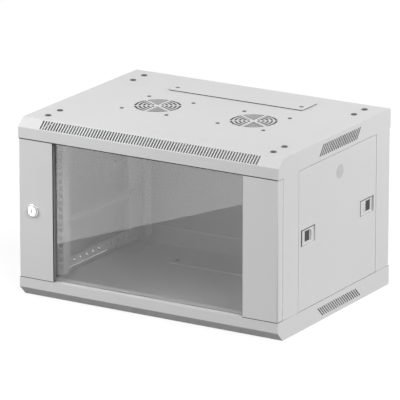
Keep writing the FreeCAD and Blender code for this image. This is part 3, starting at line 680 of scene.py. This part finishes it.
def scatter(source, name, seats, body, finish):
    """Copies of a small piece at (place, direction) seats, joined into one that rides on a body."""
    copies = [placed_copy(source, name, place, direction) for place, direction in seats]
    deselect()
    for copy in copies:
        copy.select_set(True)
    bpy.context.view_layer.objects.active = copies[0]
    bpy.ops.object.join()
    return finished(bpy.context.object, name, body, finish)


def finished(piece, name, body, finish):
    """Name, finish and body of a piece."""
    piece.name = name
    dress(piece, finish)
    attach(piece, body)
    return piece


def discard(source):
    """Throw away a model that has been copied."""
    bpy.data.objects.remove(source)


# ---------------------------------------------------------------- operators
class CABINET_OT_finishes(bpy.types.Operator):
    """Make the finishes and give them to the cabinet's parts"""
    bl_idname = "cabinet.finishes"
    bl_label = "Finishes"

    def execute(self, context):
        look = context.scene.cabinet_finishes
        powder_coat("body powder coat", look.paint, look.paint_roughness)
        powder_coat("inner powder coat", look.inner_paint, look.paint_roughness)
        moulded_plastic("gasket rubber", look.rubber, RUBBER_ROUGHNESS)
        moulded_plastic("grey foam", look.paint, FOAM_ROUGHNESS)
        moulded_plastic("foam with painted light", scaled(look.paint, PAINTED_LIGHT_GAIN), FOAM_ROUGHNESS)
        lipped = moulded_plastic("lipped rubber", look.rubber, RUBBER_ROUGHNESS)
        recoloured(lipped, look.channel, gasket_channel)
        for name, colour, mask in (
            ("painted vent shade coat", look.vent_shade_colour, painted_vent_mask),
            ("painted shade slider coat", look.shade, painted_latch_shade),
            ("painted shade pocket coat", look.shade, painted_pocket_shade),
        ):
            recoloured(powder_coat(name, look.paint, look.paint_roughness), colour, mask)
        moulded_plastic("grip plastic", look.grip, 0.45)
        moulded_plastic("plug plastic", look.blank, 0.5)
        worked_metal("lock chrome", look.chrome, 0.2, (1, 1, 1))
        worked_metal("satin nickel", look.nickel, 0.35, (1, 1, 1))
        worked_metal("bright zinc", look.zinc, 0.32, (1, 1, 0.1))
        worked_metal("dark zinc", look.screw, 0.4, (1, 1, 1))
        tinted_glass("grey glass", look.glass)
        finishes = {
            "body_paint": "body powder coat",
            "rail_paint": "inner powder coat",
            "latch_paint": "body powder coat",
            "glass": "grey glass",
            "gasket": "gasket rubber",
            "plug_plastic": "plug plastic",
            "grip_plastic": "grip plastic",
            "lock_chrome": "lock chrome",
            "zinc": "bright zinc",
        }
        for part in frame["record"]["subparts"]:
            dress(NODES[part["node"]], finishes[part["material_slot"]])
        dress(NODES["cable_seal_bottom"], "grey foam")
        # the cover and the base carry painted shade on the cut edges inside their vents
        for name in ("top_cover", "base_pan"):
            dress(NODES[name], "painted vent shade coat")
        for side, _ in SIDES:
            dress(NODES["glass_gasket_" + side], "lipped rubber")
            # the latch sliders and pockets carry painted shade at their margins
            for end in ("front", "rear"):
                dress(NODES["latch_slider_%s_%s" % (end, side)], "painted shade slider coat")
                dress(NODES["latch_pocket_%s_%s" % (end, side)], "painted shade pocket coat")
        return {"FINISHED"}


class CABINET_OT_cover_screws(bpy.types.Operator):
    """Add the screws that hold the cover on the posts"""
    bl_idname = "cabinet.cover_screws"
    bl_label = "Cover screws"

    def execute(self, context):
        sizes = context.scene.cabinet_sizes
        head = pan_head(sizes.cover_screw_radius, sizes.cover_screw_height)
        seats = [((sign * COVER_SCREW_X, y, COVER_HIGH.z), UP)
                 for _, sign in SIDES for y in COVER_SCREW_ROWS]
        scatter(head, "cover_screws", seats, "cabinet", "dark zinc")
        discard(head)
        return {"FINISHED"}


class CABINET_OT_plate_screws(bpy.types.Operator):
    """Add the screws of the cable plates and of the fans"""
    bl_idname = "cabinet.plate_screws"
    bl_label = "Plate and fan screws"

    def execute(self, context):
        sizes = context.scene.cabinet_sizes
        head = pan_head(sizes.plate_screw_radius, sizes.plate_screw_height)
        seats = [((sign * PLATE_SCREW_X, PLATE_SCREW_Y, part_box("cable_cover_" + level)[1].z), UP)
                 for _, sign in SIDES for level in ("top", "bottom")]
        scatter(head, "cable_plate_screws", seats, "cabinet", "dark zinc")
        discard(head)
        head = pan_head(sizes.fan_screw_radius, sizes.flat_screw_height)
        seats = []
        for fan in FANS:
            x, y = fan["pos_m"][:2]
            half = fan["dims"]["spacing_x_mm"] * MM / 2
            seats += [((x + dx, y + dy, COVER_HIGH.z), UP) for dx in (-half, half) for dy in (-half, half)]
        scatter(head, "fan_screws", seats, "cabinet", "dark zinc")
        discard(head)
        return {"FINISHED"}


class CABINET_OT_door_seals(bpy.types.Operator):
    """Add the black seals above and below the door, a black line under the cover, and the pale beads beside
    it; the black is painted shade of the gaps
    """
    bl_idname = "cabinet.door_seals"
    bl_label = "Door seals"

    def execute(self, context):
        low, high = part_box("door_strip_right")
        end = COVER_HIGH.x - SEAL_END
        finished(self.seal(-end, end, high.z + SEAL_GAP, COVER_LOW.z), "door_shade_seal_top", "cabinet",
                 "gasket rubber")
        # thin black bar under the cover's front edge: a painted shadow line above the door
        lip = bar((-end, COVER_LOW.y - SHADE_LINE_DEPTH, COVER_LOW.z),
                  (end, COVER_LOW.y, COVER_LOW.z + SHADE_LINE_RISE), SHADE_LINE_DEPTH / 3)
        finished(lip, "door_shade_line", "cabinet", "gasket rubber")
        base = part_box("base_pan")[1].z
        for side, sign in SIDES:
            x0, x1 = sorted((sign * low.x, sign * end))
            finished(self.seal(x0, x1, base, low.z - SEAL_GAP), "door_shade_seal_bottom_" + side, "cabinet",
                     "gasket rubber")
        for side, sign in SIDES:
            finished(self.bead(side, sign), "door_bead_" + side, "cabinet", "foam with painted light")
        return {"FINISHED"}

    def seal(self, x0, x1, z0, z1):
        """Strip in the gap between the door and the cover or the base; the hinge pins pass through it. Its
        black is painted shade of the gap.
        """
        y0 = COVER_LOW.y + SEAL_SET_IN
        return bar((x0, y0, z0), (x1, y0 + SEAL_WIDTH, z1), SEAL_EDGE)

    def bead(self, side, sign):
        """Foam bead on the post's front flange, just clear of the turning door. Its paler foam is painted
        light in the gap beside the door.
        """
        low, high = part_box("door_strip_" + side)
        post_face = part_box("post_front_" + side)[0].y
        x0 = sign * (COVER_HIGH.x - BEAD_SET_IN - BEAD_WIDTH)
        x1 = sign * (COVER_HIGH.x - BEAD_SET_IN)
        z0, z1 = low.z, high.z
        return bar((min(x0, x1), post_face - BEAD_RISE, z0), (max(x0, x1), post_face, z1), SEAL_EDGE)


class CABINET_OT_rear_screws(bpy.types.Operator):
    """Add the screws of the rear panel"""
    bl_idname = "cabinet.rear_screws"
    bl_label = "Rear panel screws"

    def execute(self, context):
        sizes = context.scene.cabinet_sizes
        head = pan_head(sizes.rear_screw_radius, sizes.flat_screw_height)
        levels = (REAR_LOW.z + REAR_SCREW_INSET, (REAR_LOW.z + REAR_HIGH.z) / 2,
                  REAR_HIGH.z - REAR_SCREW_INSET)
        seats = [((sign * REAR_SCREW_X, REAR_HIGH.y, z), BACK) for _, sign in SIDES for z in levels]
        scatter(head, "rear_panel_screws", seats, "cabinet", "dark zinc")
        discard(head)
        return {"FINISHED"}


class CABINET_OT_frame_bolts(bpy.types.Operator):
    """Add the bolts between the rails, the ties, the struts and the posts"""
    bl_idname = "cabinet.frame_bolts"
    bl_label = "Frame bolts"

    def execute(self, context):
        sizes = context.scene.cabinet_sizes
        head = hexagon_head(sizes.bolt_radius, sizes.bolt_height)
        scatter(head, "rail_bolts", self.rail_seats(), "cabinet", "bright zinc")
        scatter(head, "strut_bolts", self.strut_seats(), "cabinet", "bright zinc")
        discard(head)
        return {"FINISHED"}

    def rail_seats(self):
        """Bolts from inside the rails' channels into the struts."""
        seats = []
        for side, sign in SIDES:
            web = abs(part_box("strut_mid_" + side)[0 if sign > 0 else 1].x)
            rows = (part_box("rail_front_" + side)[1].y - RAIL_BOLT_INSET,
                    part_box("rail_rear_" + side)[0].y + RAIL_BOLT_INSET)
            tie_face = abs(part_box("rail_tie_" + side)[1 if sign > 0 else 0].x) - SHEET
            for level in ("low", "mid", "top"):
                low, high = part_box("strut_" + level + "_" + side)
                face = tie_face if level == "mid" else web - RAIL_SHEET
                seats += [((sign * face, y, (low.z + high.z) / 2), (-sign, 0, 0)) for y in rows]
        return seats

    def strut_seats(self):
        """Bolts from the struts' end tabs into the posts."""
        seats = []
        for side, sign in SIDES:
            for level in ("low", "mid", "top"):
                low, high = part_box("strut_" + level + "_" + side)
                x = sign * (max(abs(low.x), abs(high.x)) - STRUT_BOLT_INSET)
                z = (low.z + high.z) / 2
                seats += [((x, low.y + SHEET, z), BACK), ((x, high.y - SHEET, z), FORWARD)]
        return seats


class CABINET_OT_lock(bpy.types.Operator):
    """Replace the lock's plain case by a turned one, and add its rose and the cam's screw"""
    bl_idname = "cabinet.lock"
    bl_label = "Lock"

    def execute(self, context):
        sizes = context.scene.cabinet_sizes
        low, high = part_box("lock_body")
        plug_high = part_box("lock_plug")[1]
        cam_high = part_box("lock_cam")[1]
        axis = ((low.x + high.x) / 2, (low.z + high.z) / 2)
        door_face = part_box("door_strip_left")[0].y
        place = (axis[0], door_face, axis[1])
        model = self.case(door_face - low.y, high.y - door_face, plug_high.x - axis[0])
        case = scatter(model, "lock_case", [(place, FORWARD)], "door", "lock chrome")
        discard(model)
        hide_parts("lock_body")
        model = self.rose((high.x - low.x) / 2)
        scatter(model, "lock_rose", [(place, FORWARD)], "door", "satin nickel")
        discard(model)
        head = hexagon_head(sizes.bolt_radius, sizes.bolt_height)
        seat = ((axis[0], cam_high.y, axis[1]), BACK)
        scatter(head, "cam_screw", [seat], "lock_core", "bright zinc")
        discard(head)
        return {"FINISHED"}

    def case(self, rise, depth, bore):
        """Raised face ring with rounded edges, and the barrel behind it."""
        face = bore + LOCK_FACE_WALL
        barrel = bore + LOCK_BARREL_WALL
        inside = bore + LOCK_PLUG_GAP
        profile = [(face, LOCK_SEAT), (face, rise - 1.0 * MM), (face - 0.3 * MM, rise - 0.3 * MM),
                   (face - 1.0 * MM, rise), (bore + 0.8 * MM, rise), (inside, rise - 0.7 * MM),
                   (inside, -depth), (barrel, -depth), (barrel, LOCK_SEAT)]
        return turned(profile, "lock case")

    def rose(self, radius):
        """Round plate between the face ring and the door."""
        bore = radius - ROSE_WIDTH
        profile = [(radius, 0), (radius, 0.9 * MM), (radius - 0.5 * MM, 1.7 * MM),
                   (radius - 1.4 * MM, 2.1 * MM), (bore + 1.0 * MM, 2.3 * MM), (bore, 1.9 * MM), (bore, 0)]
        return turned(profile, "lock rose")


class CABINET_OT_edges(bpy.types.Operator):
    """Round the small edges of the sheets and of the moulded parts"""
    bl_idname = "cabinet.edges"
    bl_label = "Edges"

    def execute(self, context):
        for name, piece in NODES.items():
            if name.startswith(ROUNDED):
                merge = piece.modifiers.new("merge", "WELD")
                merge.merge_threshold = MERGE_WITHIN
                rounding = piece.modifiers.new("round", "BEVEL")
                rounding.width = EDGE_ROUNDING
                rounding.segments = 2
                rounding.limit_method = "ANGLE"
                rounding.angle_limit = EDGE_ANGLE
        return {"FINISHED"}


class CABINET_OT_stage(bpy.types.Operator):
    """Set up the floor, the light and the camera"""
    bl_idname = "cabinet.stage"
    bl_label = "Stage"

    def execute(self, context):
        stage = context.scene.cabinet_stage
        self.floor(stage)
        self.card(stage)
        self.sky(context, stage.sky)
        self.lamps(stage)
        self.camera(context, stage)
        context.scene.view_settings.view_transform = "Standard"
        return {"FINISHED"}

    def floor(self, stage):
        """Pale floor; it gives back less light than it shows, as paper well behind the cabinet would."""
        deselect()
        bpy.ops.mesh.primitive_plane_add(size=FLOOR_SIZE, location=(0, 0, -FLOOR_DROP))
        floor = bpy.context.object
        floor.name = "floor"
        material, shader, place = new_material("pale floor", (0.9, 0.9, 0.9, 1))
        tree = material.node_tree
        tone = spread(material, noise(material, place, 2.0), (0.895, 0.895, 0.895, 1), (0.9, 0.9, 0.9, 1))
        tree.links.new(tone, shader.inputs["Base Color"])
        shader.inputs["Roughness"].default_value = 1.0
        shader.inputs["Specular IOR Level"].default_value = 0.0
        paper = tree.nodes.new("ShaderNodeEmission")
        mirrored = tree.nodes.new("ShaderNodeMapRange")
        mirrored.inputs["To Min"].default_value = FLOOR_SHOWN
        mirrored.inputs["To Max"].default_value = stage.floor_mirrored
        path = tree.nodes.new("ShaderNodeLightPath")
        tree.links.new(path.outputs["Is Glossy Ray"], mirrored.inputs["Value"])
        tree.links.new(mirrored.outputs["Result"], paper.inputs["Strength"])
        shown = tree.nodes.new("ShaderNodeMixShader")
        shown.inputs["Fac"].default_value = stage.floor_white
        tree.links.new(shader.outputs["BSDF"], shown.inputs[1])
        tree.links.new(paper.outputs["Emission"], shown.inputs[2])
        dim = tree.nodes.new("ShaderNodeBsdfDiffuse")
        dim.inputs["Color"].default_value = (stage.floor_bounce,) * 3 + (1,)
        mix = tree.nodes.new("ShaderNodeMixShader")
        tree.links.new(seen_directly(tree), mix.inputs["Fac"])
        tree.links.new(dim.outputs["BSDF"], mix.inputs[1])
        tree.links.new(shown.outputs["Shader"], mix.inputs[2])
        tree.links.new(mix.outputs["Shader"], tree.nodes["Material Output"].inputs["Surface"])
        floor.data.materials.append(material)
        settle(floor)

    def sky(self, context, strength):
        """White backdrop that lights the cabinet less than it shows."""
        world = bpy.data.worlds.new("studio")
        context.scene.world = world
        world.use_nodes = True
        tree = world.node_tree
        background = tree.nodes["Background"]
        background.inputs["Color"].default_value = (1, 1, 1, 1)
        background.inputs["Strength"].default_value = strength
        white = tree.nodes.new("ShaderNodeBackground")
        white.inputs["Color"].default_value = (1, 1, 1, 1)
        mix = tree.nodes.new("ShaderNodeMixShader")
        tree.links.new(seen_directly(tree), mix.inputs["Fac"])
        tree.links.new(background.outputs["Background"], mix.inputs[1])
        tree.links.new(white.outputs["Background"], mix.inputs[2])
        tree.links.new(mix.outputs["Shader"], tree.nodes["World Output"].inputs["Surface"])

    def lamps(self, stage):
        """Three wide far lights, each by its direction, and two soft lamps near the cabinet."""
        for name, strength, width, direction in (
            ("key light", stage.key, 20, Vector((0.7, -0.6, 0.8))),
            ("fill light", stage.fill, 50, Vector((-0.6, -0.8, 0.3))),
            ("back light", stage.back, 50, Vector((1, 0.4, 0.4))),
        ):
            light = bpy.data.lights.new(name, "SUN")
            light.energy = strength
            light.angle = math.radians(width)
            self.hang(light, direction, Vector())
        for name, power, size, place in (
            ("left lamp", stage.left_lamp, 0.8, Vector((-1.1, -1.0, 1.1))),
            ("right lamp", stage.right_lamp, 0.6, Vector((0.9, 0.5, 0.9))),
        ):
            lamp = bpy.data.lights.new(name, "AREA")
            lamp.energy = power
            lamp.size = size
            self.hang(lamp, place, LAMP_AIM)

    def hang(self, light, place, aim):
        """Put a light at a place, turned to its aim."""
        lamp = bpy.data.objects.new(light.name, light)
        bpy.context.scene.collection.objects.link(lamp)
        lamp.location = place
        lamp.rotation_mode = "QUATERNION"
        lamp.rotation_quaternion = (place - aim).to_track_quat("Z", "Y")
        lamp.visible_camera = False

    def card(self, stage):
        """Light card on the floor in front of the door; only polished pieces show it."""
        deselect()
        bpy.ops.mesh.primitive_plane_add(size=1, location=(0, 0, 0))
        card = bpy.context.object
        card.name = "light card"
        along = CARD_FAR - CARD_NEAR
        middle = (CARD_NEAR + CARD_FAR) / 2
        edge = math.atan2(along.y, along.x)
        bpy.ops.object.mode_set(mode="EDIT")
        bpy.ops.transform.resize(value=(CARD_LENGTH, CARD_WIDTH, 1))
        bpy.ops.transform.translate(value=(0, -CARD_WIDTH / 2, 0))
        bpy.ops.object.mode_set(mode="OBJECT")
        card.location = (middle.x, middle.y, CARD_LIFT)
        card.rotation_euler = (0, 0, edge)
        material, shader, place = new_material("card", (1, 1, 1, 1))
        shader.inputs["Base Color"].default_value = (0, 0, 0, 1)
        shader.inputs["Emission Color"].default_value = (1, 1, 1, 1)
        tree = material.node_tree
        glow = spread_value(material, noise(material, place, 1.5), stage.card * 0.97, stage.card * 1.03)
        where = tree.nodes.new("ShaderNodeSeparateXYZ")
        tree.links.new(place, where.inputs["Vector"])
        across = maths(tree, "ADD", maths(tree, "MULTIPLY", where.outputs["X"], CARD_CUT.x),
                       maths(tree, "MULTIPLY", where.outputs["Y"], CARD_CUT.y))
        lit = maths(tree, "GREATER_THAN", across, CARD_CUT_PLACE)
        tree.links.new(maths(tree, "MULTIPLY", glow, lit), shader.inputs["Emission Strength"])
        card.data.materials.append(material)
        settle(card)
        for ray in ("camera", "diffuse", "transmission", "shadow", "volume_scatter"):
            setattr(card, "visible_" + ray, False)

    def camera(self, context, stage):
        """Camera on its circle round the aim point."""
        turn, rise = stage.azimuth, stage.elevation
        back = Vector((math.sin(turn) * math.cos(rise), -math.cos(turn) * math.cos(rise), math.sin(rise)))
        data = bpy.data.cameras.new("camera")
        data.lens = stage.lens
        data.sensor_width = 36
        data.clip_end = 100
        camera = bpy.data.objects.new("camera", data)
        context.scene.collection.objects.link(camera)
        camera.location = Vector(stage.aim) + back * stage.distance
        camera.rotation_mode = "QUATERNION"
        camera.rotation_quaternion = back.to_track_quat("Z", "Y")
        context.scene.camera = camera


class CABINET_PT_panel(bpy.types.Panel):
    """Steps that build the cabinet"""
    bl_idname = "CABINET_PT_panel"
    bl_label = "Wall mount cabinet"
    bl_space_type = "VIEW_3D"
    bl_region_type = "UI"
    bl_category = "Cabinet"

    def draw(self, context):
        for step in STEPS:
            self.layout.operator(step.bl_idname)


GROUPS = {
    "cabinet_finishes": CabinetFinishes,
    "cabinet_sizes": CabinetSizes,
    "cabinet_stage": CabinetStage,
}
STEPS = (
    CABINET_OT_finishes,
    CABINET_OT_edges,
    CABINET_OT_cover_screws,
    CABINET_OT_plate_screws,
    CABINET_OT_door_seals,
    CABINET_OT_rear_screws,
    CABINET_OT_frame_bolts,
    CABINET_OT_lock,
    CABINET_OT_stage,
)


def register():
    for group in GROUPS.values():
        bpy.utils.register_class(group)
    for step in STEPS:
        bpy.utils.register_class(step)
    bpy.utils.register_class(CABINET_PT_panel)
    for name, group in GROUPS.items():
        setattr(bpy.types.Scene, name, PointerProperty(type=group))


def unregister():
    for name in GROUPS:
        delattr(bpy.types.Scene, name)
    bpy.utils.unregister_class(CABINET_PT_panel)
    for step in STEPS:
        bpy.utils.unregister_class(step)
    for group in GROUPS.values():
        bpy.utils.unregister_class(group)


def main():
    register()
    bpy.ops.cabinet.finishes()
    bpy.ops.cabinet.edges()
    bpy.ops.cabinet.cover_screws()
    bpy.ops.cabinet.plate_screws()
    bpy.ops.cabinet.door_seals()
    bpy.ops.cabinet.rear_screws()
    bpy.ops.cabinet.frame_bolts()
    bpy.ops.cabinet.lock()
    bpy.ops.cabinet.stage()


if __name__ == "__main__":
    main()
